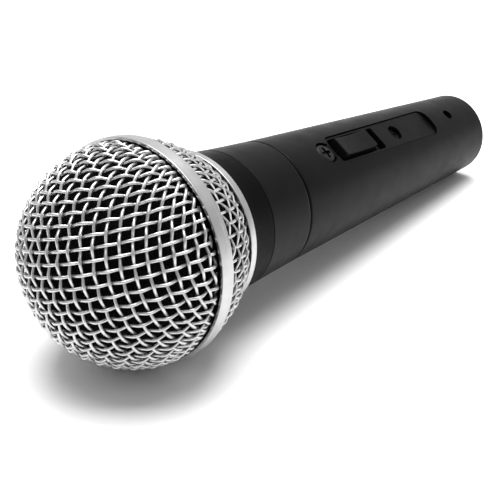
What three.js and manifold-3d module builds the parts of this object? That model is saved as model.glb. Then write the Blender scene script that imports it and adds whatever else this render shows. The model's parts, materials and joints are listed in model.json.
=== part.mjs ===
// A handheld dynamic microphone with a sliding on/off switch, lying on a table.
// It rests on the rear edge of its grille band and on the edge of its tail.
//
// Every turned piece has a profile of [radius, station] points. A station is a distance along the
// microphone's axis, from the centre of the ball towards the tail. All sizes are in millimetres.
import * as THREE from "three";
import { mergeVertices } from "three/addons/utils/BufferGeometryUtils.js";
import Module from "manifold-3d";

const wasm = await Module();
wasm.setup();

// ---- Driving dimensions ----
const GAP = 0.3; // between two pieces that meet

// Ball: woven dome, band, woven bowl and the threaded ring under it.
const BALL_RADIUS = 25.3;
const MESH_WALL = 1.5;
const BAND_RADIUS = 25.6;
const BAND_FRONT = -0.6;
const BAND_REAR = 3.2;
const BAND_BEVEL = 0.3;
const BAND_WALL = 2.2;
const BOWL_FRONT_RADIUS = 25.0;
const BOWL_WALL = 1.4;
const RING_FRONT = 16.1;
const RING_REAR = 18.8;
const RING_RADIUS = 19.1;
const RING_BORE = 16.8;
const RING_SLEEVE = 0.5;
const RING_SLEEVE_FRONT = 13.2;
const FOAM_RADIUS = 23.2;
const FOAM_INNER_RADIUS = 20.0;
const FOAM_REAR = 11.9;

// Collar that carries the cartridge, and the handle screwed to it.
const SPIGOT_FRONT = 12.5;
const SPIGOT_RADIUS = 16.3;
const COLLAR_FRONT_RADIUS = 18.1;
const COLLAR_FLARE_LENGTH = 8;
const COLLAR_BORE = 14.9;
const COLLAR_BORE_END = 24;
const LABEL_FRONT = 19.7;
const LABEL_REAR = 27.9;
const LABEL_DEPTH = 0.8;
const SEAM = 43.5;
const SEAM_RADIUS = 15.87;
const TENON_FRONT = 37;
const TENON_RADIUS = 13.5;
const TENON_BORE = 12.3;
const TAIL_END = 137.2;
const TAIL_RADIUS = 11.5;
const TAIL_BEVEL = 0.4;
const HANDLE_WALL = 1.8;
const TAPER = (SEAM_RADIUS - TAIL_RADIUS) / (TAIL_END - SEAM);

// Moving-coil cartridge, from its front screen to the board on its rear chamber.
const CARTRIDGE_WALL = 1.2;
const SCREEN_RADIUS = 13.2;
const SCREEN_FRONT = -8.7;
const SCREEN_REAR = -8.1;
const CAP_RADIUS = 14.6;
const CAP_FRONT = -7.8;
const CAP_WALL = 1.6;
const CAP_REAR = -4.9;
const SOUND_HOLES = 6;
const SOUND_HOLE_RADIUS = 1.6;
const SOUND_HOLE_CIRCLE = 7.5;
const CARTRIDGE_RADIUS = 14.9;
const CARTRIDGE_FRONT = -4.6;
const FILM_FRONT = -5.0;
const FILM_FLAT = -3.8;
const FILM_RADIUS = 12;
const FILM_DOME_RADIUS = 8.8;
const FILM_THICKNESS = 0.4;
const COIL_BORE = 8.75;
const COIL_RADIUS = 9.35;
const COIL_REAR = 2.4;
const MOTOR_FRONT = -2.5;
const MOTOR_RADIUS = 12.2;
const POLE_RADIUS = 8.2;
const POLE_REAR = 1.0;
const MAGNET_RADIUS = 7.6;
const YOKE_FLOOR = 7.3;
const YOKE_REAR = 9.6;
const COIL_GAP_RADIUS = 10.0;
const NECK_RADIUS = 12.0;
const NECK_REAR = 23.0;
const CHAMBER_RADIUS = 10.5;
const CHAMBER_REAR = 40;
const BOARD_RADIUS = 8.5;
const BOARD_THICKNESS = 1.6;
const MOUNT_FRONT = 13.6;
const MOUNT_REAR = 22.6;

// Three-pin output connector.
const SOCKET_BORE = 8.2;
const SOCKET_STEP = 110.5;
const INSERT_FRONT = 112.5;
const INSERT_REAR = 123.2;
const INSERT_RADIUS = 7.9;
const PIN_CIRCLE = 3.81;
const PIN_RADIUS = 1.2;
const PIN_FRONT = 108.9;
const PIN_REAR = 134.9;
const SET_SCREW_STATION = 121.6;
const SET_SCREW_HOLE = 1.6;
const SET_SCREW_RADIUS = 1.25;
const SET_SCREW_TOP = 10.9;

// Switch, measured from the middle of its opening, on the crown of the handle.
const SWITCH_ANGLE = THREE.MathUtils.degToRad(33);
const SWITCH_STATION = 73.4;
const SWITCH_LEVEL = handleRadius(SWITCH_STATION);
const POCKET_FRONT = -11.6;
const POCKET_REAR = 38.1;
const POCKET_HALF_WIDTH = 4.4;
const POCKET_CORNER = 2.2;
const POCKET_DEPTH = 4.5;
const LUG_HALF_WIDTH = 2.2;
const OPENING_HALF_LENGTH = 10.2;
const OPENING_HALF_WIDTH = 3.5;
const OPENING_CORNER = 0.8;
const PLATE_TOP = -1.0;
const PLATE_BOTTOM = -2.8;
const LUG_TOP = -1.6;
const FRONT_SCREW_PLACE = -14.7;
const FRONT_SCREW_HOLE = 3.2;
const FRONT_SCREW_HEAD = 2.8;
const REAR_SCREW_PLACE = 19.5;
const REAR_SCREW_HOLE = 2.3;
const REAR_SCREW_HEAD = 2.0;
const REAR_SCREW_SINK = 1.1;
const SCREW_TIP = -5.5;
const BUTTON_PLACE = -1.6;
const BUTTON_HALF_LENGTH = 7.2;
const BUTTON_HALF_WIDTH = 2.9;
const BUTTON_TOP = 0.6;
const BUTTON_DISH = 0.8;
const BUTTON_BEVEL = 0.3;
const BUTTON_BOTTOM = -2.2;
const CASE_HALF_WIDTH = 4.2;
const CASE_TOP = -3.1;
const CASE_BOTTOM = -9.6;
const CARRIER_TOP = -3.5;
const CARRIER_BOTTOM = -8.0;
const STEM_BOTTOM = -6.2;
const TERMINAL_LENGTH = 2.1;

// Transformer between the switch and the connector.
const CORE_FRONT = 90.5;
const CORE_LENGTH = 14;
const CORE_DROP = -2;
const CORE_HALF_WIDTH = 7;
const CORE_HALF_DEPTH = 2.8;
const WINDOW_PLACE = 3.8;
const WINDOW_HALF_WIDTH = 1.6;
const YOKE_WIDTH = 2.7;

// Insulated leads.
const LEAD_RADIUS = 0.6;

// Facets of the turned pieces.
const OUTER_SIDES = 32;
const INNER_SIDES = 20;
const ROD_SIDES = 12;

// The angle that lays both resting edges on the table.
const TILT = Math.atan2(
  BAND_RADIUS - TAIL_RADIUS,
  TAIL_END - TAIL_BEVEL - BAND_REAR + BAND_BEVEL,
);

function handleRadius(station) {
  return SEAM_RADIUS - TAPER * (station - SEAM);
}

// ---- Materials ----
function material(color, roughness, metalness) {
  return new THREE.MeshStandardMaterial({ color, roughness, metalness });
}

const WIRE = material(0xc4c4c2, 0.35, 0.9);
const SATIN_METAL = material(0xd2d2d0, 0.3, 0.9);
const STEEL = material(0x8f9092, 0.4, 0.9);
const DARK_STEEL = material(0x2b2b2d, 0.4, 0.8);
const ENAMEL = material(0x232326, 0.5, 0.2);
const LABEL = material(0x17171a, 0.45, 0.2);
const BLACK_PLASTIC = material(0x1b1b1d, 0.55, 0);
const BUTTON_PLASTIC = material(0x3a3a3c, 0.5, 0);
const FOAM = material(0x0d0d0e, 1, 0);
const RUBBER = material(0x18181a, 0.8, 0);
const FILM = material(0xd8d2c0, 0.3, 0);
const COPPER = material(0xb56f3a, 0.4, 0.8);
const BRASS = material(0xc9a24f, 0.35, 0.9);
const BOARD = material(0x39633f, 0.6, 0);
const BLUE_WIRE = material(0x2f4f8f, 0.6, 0);
const RED_WIRE = material(0x9c2b26, 0.6, 0);

// ---- Shapes ----
// A piece turned about the axis. Its flats touch the true circle, and one flat faces the table.
function turned(profile, sides = OUTER_SIDES) {
  const grow = 1 / Math.cos(Math.PI / sides);
  const points = profile.map(([radius, station]) => new THREE.Vector2(radius * grow, station));
  if (points[0].x > 0) points.push(points[0].clone());
  if (THREE.ShapeUtils.area(points) < 0) points.reverse();
  return new THREE.LatheGeometry(points, sides, Math.PI / sides);
}

// A plain ring or disc between two stations. A disc has a bore of 0.
function ring(bore, radius, front, rear, sides = INNER_SIDES) {
  return turned([[bore, front], [radius, front], [radius, rear], [bore, rear]], sides);
}

// Points on a sphere about the ball's centre, between two stations.
function ballArc(radius, from, to, steps) {
  const start = Math.acos(-from / radius);
  const end = Math.acos(-to / radius);
  return Array.from({ length: steps + 1 }, (_, i) => {
    const angle = start + ((end - start) * i) / steps;
    return [Math.max(0, radius * Math.sin(angle)), -radius * Math.cos(angle)];
  });
}

// A shell's profile on a smooth curve: out along the curve, and back a wall's depth inside it.
function curvedWall(curve, wall, steps) {
  const outside = curve.getPoints(steps).map((p) => [p.x, p.y]);
  const inside = outside.map(([radius, station]) => [radius - wall, station]).reverse();
  return [...outside, ...inside];
}

// A block given by its lowest and highest corners.
function block(low, high) {
  const size = high.map((value, i) => value - low[i]);
  const middle = high.map((value, i) => (value + low[i]) / 2);
  return new THREE.BoxGeometry(...size).translate(...middle);
}

function extruded(shape, low, high, curveSegments = 4) {
  const settings = { depth: high - low, bevelEnabled: false, curveSegments };
  return new THREE.ExtrudeGeometry(shape, settings).translate(0, 0, low);
}

function roundedOutline(left, front, right, rear, corner) {
  const shape = new THREE.Shape();
  shape.absarc(right - corner, rear - corner, corner, 0, Math.PI / 2);
  shape.absarc(left + corner, rear - corner, corner, Math.PI / 2, Math.PI);
  shape.absarc(left + corner, front + corner, corner, Math.PI, 1.5 * Math.PI);
  shape.absarc(right - corner, front + corner, corner, 1.5 * Math.PI, 2 * Math.PI);
  return shape;
}

// A round rod that stands on the plane z = low, at the given place on it.
function rod(radius, x, y, low, high, sides = ROD_SIDES) {
  const cylinder = new THREE.CylinderGeometry(radius, radius, high - low, sides);
  return cylinder.rotateX(Math.PI / 2).translate(x, y, (low + high) / 2);
}

// A round rod along the axis.
function axialRod(radius, x, z, front, rear, sides = ROD_SIDES) {
  const cylinder = new THREE.CylinderGeometry(radius, radius, rear - front, sides);
  return cylinder.translate(x, (front + rear) / 2, z);
}

// ---- Joining and cutting ----
function solid(geometry) {
  const bare = geometry.clone().deleteAttribute("normal").deleteAttribute("uv");
  const merged = mergeVertices(bare);
  const vertProperties = merged.getAttribute("position").array;
  const triVerts = new Uint32Array(merged.index.array);
  return new wasm.Manifold(new wasm.Mesh({ numProp: 3, vertProperties, triVerts }));
}

function geometryOf(manifold) {
  const mesh = manifold.getMesh();
  const geometry = new THREE.BufferGeometry();
  geometry.setAttribute("position", new THREE.BufferAttribute(mesh.vertProperties, 3));
  geometry.setIndex(new THREE.BufferAttribute(mesh.triVerts, 1));
  geometry.computeVertexNormals();
  return geometry;
}

function cut(geometry, ...tools) {
  return geometryOf(tools.reduce((left, tool) => left.subtract(solid(tool)), solid(geometry)));
}

function joined(geometry, ...others) {
  return geometryOf(others.reduce((sum, other) => sum.add(solid(other)), solid(geometry)));
}

// ---- Scene graph ----
function add(parent, name, geometry, look) {
  const mesh = new THREE.Mesh(geometry, look);
  mesh.name = name;
  parent.add(mesh);
}

// The microphone's own frame: +Y runs along its axis to the tail, and +Z is up.
const body = new THREE.Group();
body.rotation.z = -Math.PI / 2;

// The same frame, turned about the axis until +Z runs out through the switch.
const switchSide = new THREE.Group();
switchSide.rotation.y = SWITCH_ANGLE;
body.add(switchSide);

// The switch's frame, on the crown of the tapered handle: +Y runs towards the tail along its surface.
const switchFrame = new THREE.Group();
switchFrame.position.set(0, SWITCH_STATION, SWITCH_LEVEL);
switchFrame.rotation.x = -Math.atan(TAPER);
switchSide.add(switchFrame);
body.updateMatrixWorld(true);

// Moves a tool made in a group's frame into the microphone's own frame.
function inBody(group, geometry) {
  const place = body.matrixWorld.clone().invert().multiply(group.matrixWorld);
  return geometry.applyMatrix4(place);
}

// ---- Ball ----
function addBall() {
  const domeRear = BAND_FRONT - GAP;
  const innerRadius = BALL_RADIUS - MESH_WALL;
  const dome = [
    ...ballArc(BALL_RADIUS, -BALL_RADIUS, domeRear, 9),
    ...ballArc(innerRadius, domeRear, -innerRadius, 7),
  ];
  add(body, "grille_dome", turned(dome), WIRE);

  const band = [
    [BAND_RADIUS - BAND_WALL, BAND_FRONT],
    [BAND_RADIUS - BAND_BEVEL, BAND_FRONT],
    [BAND_RADIUS, BAND_FRONT + BAND_BEVEL],
    [BAND_RADIUS, BAND_REAR - BAND_BEVEL],
    [BAND_RADIUS - BAND_BEVEL, BAND_REAR],
    [BAND_RADIUS - BAND_WALL, BAND_REAR],
  ];
  add(body, "grille_band", turned(band), SATIN_METAL);

  const bowl = new THREE.QuadraticBezierCurve(
    new THREE.Vector2(BOWL_FRONT_RADIUS, BAND_REAR + GAP),
    new THREE.Vector2(BOWL_FRONT_RADIUS - 1.6, 10.6),
    new THREE.Vector2(RING_RADIUS - 0.1, RING_FRONT - GAP),
  );
  add(body, "grille_bowl", turned(curvedWall(bowl, BOWL_WALL, 6)), WIRE);

  const baseRing = [
    [RING_BORE, RING_SLEEVE_FRONT],
    [RING_BORE + RING_SLEEVE, RING_SLEEVE_FRONT],
    [RING_BORE + RING_SLEEVE, RING_FRONT],
    [RING_RADIUS - 0.2, RING_FRONT],
    [RING_RADIUS, RING_FRONT + 0.4],
    [RING_RADIUS, RING_REAR - 0.4],
    [RING_RADIUS - 0.4, RING_REAR],
    [RING_BORE, RING_REAR],
  ];
  add(body, "grille_base_ring", turned(baseRing), SATIN_METAL);
}

// A thick hemisphere that closes in behind the ball's middle.
function addFoam() {
  const foam = [
    ...ballArc(FOAM_RADIUS, -FOAM_RADIUS, 0, 7),
    [FOAM_RADIUS - 0.7, 5],
    [FOAM_RADIUS - 2.4, 8.8],
    [FOAM_RADIUS - 5.4, FOAM_REAR],
    [FOAM_INNER_RADIUS - 3.8, FOAM_REAR],
    [FOAM_INNER_RADIUS - 1.2, 7],
    ...ballArc(FOAM_INNER_RADIUS, 0, -FOAM_INNER_RADIUS, 6),
  ];
  add(body, "foam_windscreen", turned(foam, INNER_SIDES + 4), FOAM);
}

// ---- Cartridge, from its front screen to the board on its rear chamber ----
function addCartridge() {
  const screen = ring(0, SCREEN_RADIUS, SCREEN_FRONT, SCREEN_REAR);
  add(body, "cartridge_front_screen", screen, STEEL);
  add(body, "resonator_cap", resonatorCap(), BLACK_PLASTIC);
  add(body, "diaphragm", diaphragm(), FILM);

  const coilFront = FILM_FLAT + FILM_THICKNESS + GAP;
  add(body, "voice_coil", ring(COIL_BORE, COIL_RADIUS, coilFront, COIL_REAR), COPPER);
  add(body, "pole_piece", ring(0, POLE_RADIUS, MOTOR_FRONT, POLE_REAR), STEEL);
  add(body, "magnet", ring(0, MAGNET_RADIUS, POLE_REAR + GAP, YOKE_FLOOR - GAP), DARK_STEEL);

  const yoke = [
    [0, YOKE_FLOOR],
    [COIL_GAP_RADIUS, YOKE_FLOOR],
    [COIL_GAP_RADIUS, MOTOR_FRONT],
    [MOTOR_RADIUS, MOTOR_FRONT],
    [MOTOR_RADIUS, YOKE_REAR],
    [0, YOKE_REAR],
  ];
  add(body, "yoke_cup", turned(yoke, INNER_SIDES), STEEL);
  addCartridgeShells();
  const boardFront = CHAMBER_REAR + GAP;
  add(body, "terminal_board", ring(0, BOARD_RADIUS, boardFront, boardFront + BOARD_THICKNESS), BOARD);
}

// A thin domed film with a flat rim, which the coil hangs from.
function diaphragm() {
  const front = [
    [0, FILM_FRONT],
    [FILM_DOME_RADIUS - 2.8, FILM_FRONT + 0.4],
    [FILM_DOME_RADIUS, FILM_FLAT],
    [FILM_RADIUS, FILM_FLAT],
  ];
  const rear = front.map(([radius, station]) => [radius, station + FILM_THICKNESS]).reverse();
  return turned([...front, ...rear], INNER_SIDES);
}

// The cap has a ring of sound holes round a middle one, and a lip that reaches back over the film.
function resonatorCap() {
  const hole = (x, z) => axialRod(SOUND_HOLE_RADIUS, x, z, CAP_FRONT - 1, CAP_FRONT + CAP_WALL + 1);
  const holes = [hole(0, 0)];
  for (let i = 0; i < SOUND_HOLES; i += 1) {
    const angle = (2 * Math.PI * i) / SOUND_HOLES;
    holes.push(hole(SOUND_HOLE_CIRCLE * Math.cos(angle), SOUND_HOLE_CIRCLE * Math.sin(angle)));
  }
  const lip = CAP_RADIUS - CAP_WALL - 0.1;
  const cap = [
    [0, CAP_FRONT],
    [CAP_RADIUS - 0.4, CAP_FRONT],
    [CAP_RADIUS, CAP_FRONT + 0.6],
    [CAP_RADIUS, CAP_REAR],
    [lip, CAP_REAR],
    [lip, CAP_FRONT + CAP_WALL],
    [0, CAP_FRONT + CAP_WALL],
  ];
  return cut(turned(cap, INNER_SIDES), ...holes);
}

// The housing round the motor, with a narrower neck behind it, and the closed chamber in line with it.
function addCartridgeShells() {
  const housingBore = MOTOR_RADIUS + 0.4;
  const seat = YOKE_REAR + GAP;
  const housing = [
    [housingBore, CARTRIDGE_FRONT],
    [CARTRIDGE_RADIUS, CARTRIDGE_FRONT],
    [CARTRIDGE_RADIUS, seat - 0.7],
    [NECK_RADIUS, seat + 0.9],
    [NECK_RADIUS, NECK_REAR],
    [NECK_RADIUS - CARTRIDGE_WALL, NECK_REAR],
    [NECK_RADIUS - CARTRIDGE_WALL, seat],
    [housingBore, seat],
  ];
  add(body, "cartridge_housing", turned(housing, INNER_SIDES), BLACK_PLASTIC);

  const chamberBore = CHAMBER_RADIUS - CARTRIDGE_WALL;
  const chamber = [
    [0, CHAMBER_REAR - CARTRIDGE_WALL],
    [chamberBore, CHAMBER_REAR - CARTRIDGE_WALL],
    [chamberBore, NECK_REAR + GAP],
    [CHAMBER_RADIUS, NECK_REAR + GAP],
    [CHAMBER_RADIUS, CHAMBER_REAR],
    [0, CHAMBER_REAR],
  ];
  add(body, "rear_chamber", turned(chamber, INNER_SIDES), BLACK_PLASTIC);
}

// ---- Collar, with the rubber mount it holds and the band let into its outside ----
function collarRadius(station) {
  const flare = COLLAR_FRONT_RADIUS - handleRadius(RING_REAR);
  return handleRadius(station) + flare * Math.exp((RING_REAR - station) / COLLAR_FLARE_LENGTH);
}

function addCollar() {
  const front = RING_REAR + GAP / 2;
  const rear = SEAM - GAP / 2;
  const labelMiddle = (LABEL_FRONT + LABEL_REAR) / 2;
  const stations = [31, 35, 39, rear];
  const outside = [
    [SPIGOT_RADIUS, SPIGOT_FRONT],
    [SPIGOT_RADIUS, front],
    [collarRadius(front), front],
    [collarRadius(LABEL_FRONT), LABEL_FRONT],
    [collarRadius(LABEL_FRONT) - LABEL_DEPTH, LABEL_FRONT],
    [collarRadius(labelMiddle) - LABEL_DEPTH, labelMiddle],
    [collarRadius(LABEL_REAR) - LABEL_DEPTH, LABEL_REAR],
    [collarRadius(LABEL_REAR), LABEL_REAR],
    ...stations.map((station) => [collarRadius(station), station]),
  ];
  const inside = [
    [TENON_RADIUS + 0.4, rear],
    [TENON_RADIUS + 0.4, COLLAR_BORE_END + 0.6],
    [COLLAR_BORE, COLLAR_BORE_END],
    [COLLAR_BORE, SPIGOT_FRONT],
  ];
  add(body, "collar_shell", turned([...outside, ...inside]), ENAMEL);

  const bandEnds = [LABEL_FRONT + 0.1, labelMiddle, LABEL_REAR - 0.1];
  const label = [
    ...bandEnds.map((station) => [collarRadius(station), station]),
    ...bandEnds.map((station) => [collarRadius(station) - LABEL_DEPTH + GAP, station]).reverse(),
  ];
  add(body, "label_band", turned(label), LABEL);
  const mount = ring(NECK_RADIUS + 0.5, COLLAR_BORE - 0.4, MOUNT_FRONT, MOUNT_REAR);
  add(body, "shock_mount", mount, RUBBER);
}

// ---- Handle ----
function addHandle() {
  const front = SEAM + GAP / 2;
  const tenonRear = SEAM + 3;
  const profile = [
    [TENON_BORE, TENON_FRONT],
    [TENON_RADIUS, TENON_FRONT],
    [TENON_RADIUS, front],
    [handleRadius(front), front],
    [TAIL_RADIUS, TAIL_END - TAIL_BEVEL],
    [TAIL_RADIUS - TAIL_BEVEL, TAIL_END],
    [SOCKET_BORE + TAIL_BEVEL, TAIL_END],
    [SOCKET_BORE, TAIL_END - TAIL_BEVEL],
    [SOCKET_BORE, SOCKET_STEP],
    [handleRadius(SOCKET_STEP) - HANDLE_WALL, SOCKET_STEP],
    [handleRadius(tenonRear) - HANDLE_WALL, tenonRear],
    [TENON_BORE, tenonRear],
  ];
  const pocket = roundedOutline(
    -POCKET_HALF_WIDTH,
    POCKET_FRONT,
    POCKET_HALF_WIDTH,
    POCKET_REAR,
    POCKET_CORNER,
  );
  const lugLow = [-LUG_HALF_WIDTH, FRONT_SCREW_PLACE, -POCKET_DEPTH];
  const lugHigh = [LUG_HALF_WIDTH, POCKET_FRONT + 1, 2];
  const tools = [
    inBody(switchFrame, extruded(pocket, -POCKET_DEPTH, 2)),
    inBody(switchFrame, rod(FRONT_SCREW_HOLE, 0, FRONT_SCREW_PLACE, -POCKET_DEPTH, 2, INNER_SIDES)),
    inBody(switchFrame, block(lugLow, lugHigh)),
    inBody(switchSide, rod(SET_SCREW_HOLE, 0, SET_SCREW_STATION, SOCKET_BORE - 1.2, TAIL_RADIUS + 3)),
  ];
  add(body, "handle", cut(turned(profile), ...tools), ENAMEL);
}

// ---- Switch ----
function plateGeometry() {
  const outline = roundedOutline(
    -POCKET_HALF_WIDTH + GAP,
    POCKET_FRONT + GAP,
    POCKET_HALF_WIDTH - GAP,
    POCKET_REAR - GAP,
    POCKET_CORNER - GAP,
  );
  const opening = roundedOutline(
    -OPENING_HALF_WIDTH,
    -OPENING_HALF_LENGTH,
    OPENING_HALF_WIDTH,
    OPENING_HALF_LENGTH,
    OPENING_CORNER,
  );
  const lugHalf = LUG_HALF_WIDTH - GAP;
  const lug = [
    rod(FRONT_SCREW_HOLE - GAP, 0, FRONT_SCREW_PLACE, PLATE_BOTTOM, LUG_TOP, 16),
    block([-lugHalf, FRONT_SCREW_PLACE, PLATE_BOTTOM], [lugHalf, POCKET_FRONT + 1, LUG_TOP]),
  ];
  return cut(
    joined(extruded(outline, PLATE_BOTTOM, PLATE_TOP), ...lug),
    extruded(opening, PLATE_BOTTOM - 1, PLATE_TOP + 1, 2),
    rod(1.6, 0, FRONT_SCREW_PLACE, PLATE_BOTTOM - 1, LUG_TOP + 1),
    rod(REAR_SCREW_HOLE, 0, REAR_SCREW_PLACE, PLATE_TOP - REAR_SCREW_SINK, PLATE_TOP + 1, 16),
    rod(1.4, 0, REAR_SCREW_PLACE, PLATE_BOTTOM - 1, PLATE_TOP),
  );
}

// A cross-headed screw standing on its shank.
function screwGeometry(place, headRadius, headLow, headHigh, shankRadius) {
  const head = rod(headRadius, 0, place, headLow, headHigh, 16);
  const shank = rod(shankRadius, 0, place, SCREW_TIP, headLow + 0.1, 8);
  const reach = 0.6 * headRadius;
  const halfSlot = 0.13 * headRadius;
  const floor = (headLow + headHigh) / 2;
  const slots = [
    block([-reach, place - halfSlot, floor], [reach, place + halfSlot, headHigh + 1]),
    block([-halfSlot, place - reach, floor], [halfSlot, place + reach, headHigh + 1]),
  ];
  return cut(joined(head, shank), ...slots);
}

// The thumb slide, dished along its length.
function buttonGeometry() {
  const front = -BUTTON_HALF_LENGTH;
  const rear = BUTTON_HALF_LENGTH;
  const shoulder = BUTTON_TOP - BUTTON_BEVEL;
  const side = new THREE.Shape();
  side.moveTo(front, BUTTON_BOTTOM);
  side.lineTo(rear, BUTTON_BOTTOM);
  side.lineTo(rear, shoulder);
  side.lineTo(rear - BUTTON_BEVEL, BUTTON_TOP);
  side.quadraticCurveTo(0, BUTTON_TOP - 2 * BUTTON_DISH, front + BUTTON_BEVEL, BUTTON_TOP);
  side.lineTo(front, shoulder);
  const cap = extruded(side, -BUTTON_HALF_WIDTH, BUTTON_HALF_WIDTH, 10);
  cap.rotateY(Math.PI / 2).rotateX(Math.PI / 2);
  return cap;
}

// A block centred on the switch's middle line, as long as it is said to reach on each side of a place.
function midBlock(halfWidth, place, reach, low, high) {
  return block([-halfWidth, place - reach, low], [halfWidth, place + reach, high]);
}

function addSwitch() {
  add(switchFrame, "switch_plate", plateGeometry(), ENAMEL);
  const frontScrew = screwGeometry(FRONT_SCREW_PLACE, FRONT_SCREW_HEAD, LUG_TOP + GAP, -GAP, 1.2);
  add(switchFrame, "switch_front_screw", frontScrew, DARK_STEEL);
  const rearSeat = PLATE_TOP - REAR_SCREW_SINK + GAP;
  const rearScrew = screwGeometry(REAR_SCREW_PLACE, REAR_SCREW_HEAD, rearSeat, PLATE_TOP - 0.2, 1.0);
  add(switchFrame, "switch_rear_screw", rearScrew, DARK_STEEL);

  const cavity = midBlock(CASE_HALF_WIDTH - CARTRIDGE_WALL, 0.2, 9.6, CASE_BOTTOM + 1.2, CASE_TOP + 1);
  const shell = midBlock(CASE_HALF_WIDTH, 0.2, 11, CASE_BOTTOM, CASE_TOP);
  add(switchFrame, "switch_case", cut(shell, cavity), BLACK_PLASTIC);
  const stemHole = midBlock(1.5, BUTTON_PLACE, 2.3, STEM_BOTTOM - GAP, CARRIER_TOP + 1);
  const carrier = midBlock(2.6, BUTTON_PLACE, 4, CARRIER_BOTTOM, CARRIER_TOP);
  add(switchFrame, "switch_carrier", cut(carrier, stemHole), BRASS);
  [-2, 2].forEach((x, i) => {
    const top = CASE_BOTTOM - GAP;
    const tab = block([x - 0.9, -1.2, top - TERMINAL_LENGTH], [x + 0.9, 1.2, top]);
    add(switchFrame, `switch_terminal_${i + 1}`, tab, BRASS);
  });

  const stem = midBlock(1.2, BUTTON_PLACE, 2, STEM_BOTTOM, BUTTON_BOTTOM + 0.1);
  const button = joined(buttonGeometry().translate(0, BUTTON_PLACE, 0), stem);
  add(switchFrame, "switch_button", button, BUTTON_PLASTIC);
}

// ---- Transformer and wiring ----
// A laminated core with two windows, and the winding on its middle limb.
function addTransformer() {
  const outline = roundedOutline(-CORE_HALF_WIDTH, 0, CORE_HALF_WIDTH, CORE_LENGTH, 0.5);
  for (const side of [-1, 1]) {
    const middle = side * WINDOW_PLACE;
    const [left, right] = [middle - WINDOW_HALF_WIDTH, middle + WINDOW_HALF_WIDTH];
    const hole = roundedOutline(left, YOKE_WIDTH, right, CORE_LENGTH - YOKE_WIDTH, 0.2);
    outline.holes.push(new THREE.Path(hole.getPoints(1)));
  }
  const core = extruded(outline, -CORE_HALF_DEPTH, CORE_HALF_DEPTH, 1);
  add(switchSide, "transformer_core", core.translate(0, CORE_FRONT, CORE_DROP), STEEL);

  const limbHalf = WINDOW_PLACE - WINDOW_HALF_WIDTH + GAP;
  const coilHalf = WINDOW_PLACE + WINDOW_HALF_WIDTH - GAP;
  const holeHalf = CORE_HALF_DEPTH + GAP;
  const winding = roundedOutline(-coilHalf, -4.6, coilHalf, 4.6, 1);
  const coreHole = roundedOutline(-limbHalf, -holeHalf, limbHalf, holeHalf, 0.2);
  winding.holes.push(new THREE.Path(coreHole.getPoints(1)));
  const coilFront = YOKE_WIDTH + GAP;
  const coil = extruded(winding, 0, CORE_LENGTH - 2 * coilFront).rotateX(-Math.PI / 2);
  add(switchSide, "transformer_coil", coil.translate(0, CORE_FRONT + coilFront, CORE_DROP), COPPER);
}

function wire(points, steps) {
  const curve = new THREE.CatmullRomCurve3(points.map((point) => new THREE.Vector3(...point)));
  const section = new THREE.Shape().absarc(0, 0, LEAD_RADIUS, 0, 2 * Math.PI);
  const settings = { steps, extrudePath: curve, curveSegments: 8, bevelEnabled: false };
  return new THREE.ExtrudeGeometry(section, settings);
}

// The leads run from the terminal board under the switch to the core, and from it to the pins.
function addWires() {
  [-1, 1].forEach((side, i) => {
    const route = [
      [side * 1.6, CHAMBER_REAR + 3.5, -2],
      [side * 2, 49, -6.4],
      [side * 2.2, 60, -8],
      [side * 2.2, 80, -7.6],
      [side * 2.1, CORE_FRONT - 0.4, -2.2],
    ];
    add(switchSide, `cartridge_lead_${i + 1}`, wire(route, 24), i ? RED_WIRE : BLUE_WIRE);
  });
  pinPlaces().forEach(([x, z], i) => {
    const start = CORE_FRONT + CORE_LENGTH + GAP;
    const route = [[x * 0.5, start, z * 0.5], [x * 0.9, start + 2.2, z * 0.9], [x, PIN_FRONT - GAP, z]];
    add(body, `output_lead_${i + 1}`, wire(route, 6), i ? RED_WIRE : BLUE_WIRE);
  });
}

// ---- Three-pin output connector ----
// The places of the pins in the connector's face: two level with the axis, and one below it.
function pinPlaces() {
  return [0, -Math.PI, -Math.PI / 2].map((angle) => [
    PIN_CIRCLE * Math.cos(angle),
    PIN_CIRCLE * Math.sin(angle),
  ]);
}

function addConnector() {
  const holes = pinPlaces().map(([x, z]) =>
    axialRod(PIN_RADIUS + 0.35, x, z, INSERT_FRONT - 1, INSERT_REAR + 1),
  );
  const insert = ring(0, INSERT_RADIUS, INSERT_FRONT, INSERT_REAR, 24);
  add(body, "xlr_insert", cut(insert, ...holes), BLACK_PLASTIC);
  pinPlaces().forEach(([x, z], i) => {
    add(body, `xlr_pin_${i + 1}`, axialRod(PIN_RADIUS, x, z, PIN_FRONT, PIN_REAR), BRASS);
  });
  add(body, "earth_washer", ring(5.6, 7.4, INSERT_FRONT - 1.3, INSERT_FRONT - GAP), BRASS);

  const screw = rod(SET_SCREW_RADIUS, 0, SET_SCREW_STATION, SOCKET_BORE + 0.1, SET_SCREW_TOP);
  const slot = midBlock(2, SET_SCREW_STATION, 0.25, SET_SCREW_TOP - 0.6, SET_SCREW_TOP + 1);
  add(switchSide, "xlr_set_screw", cut(screw, slot), DARK_STEEL);
}

addBall();
addFoam();
addCartridge();
addCollar();
addHandle();
addSwitch();
addTransformer();
addWires();
addConnector();

// Lays the microphone down and puts the origin under the middle of its box, on the table.
const microphone = new THREE.Group();
microphone.add(body);
microphone.rotation.y = TILT;
microphone.updateMatrixWorld(true);
const bounds = new THREE.Box3().setFromObject(microphone, true);
const middle = bounds.getCenter(new THREE.Vector3());
microphone.position.set(-middle.x, -middle.y, -bounds.min.z);

export default microphone;
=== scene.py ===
"""The looks of a handheld dynamic microphone with a sliding switch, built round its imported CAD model.

Pieces are modelled in millimetres in the microphone's own frame, where x is across it, y is the
station along its axis from the centre of the ball towards the tail, and z is up. They are then laid
down in the frame's metres by BODY. The switch has a frame of its own on the handle's surface.
"""
import json
import math

import bmesh
import bpy
import numpy as np
from mathutils import Matrix, Vector, noise


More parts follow.
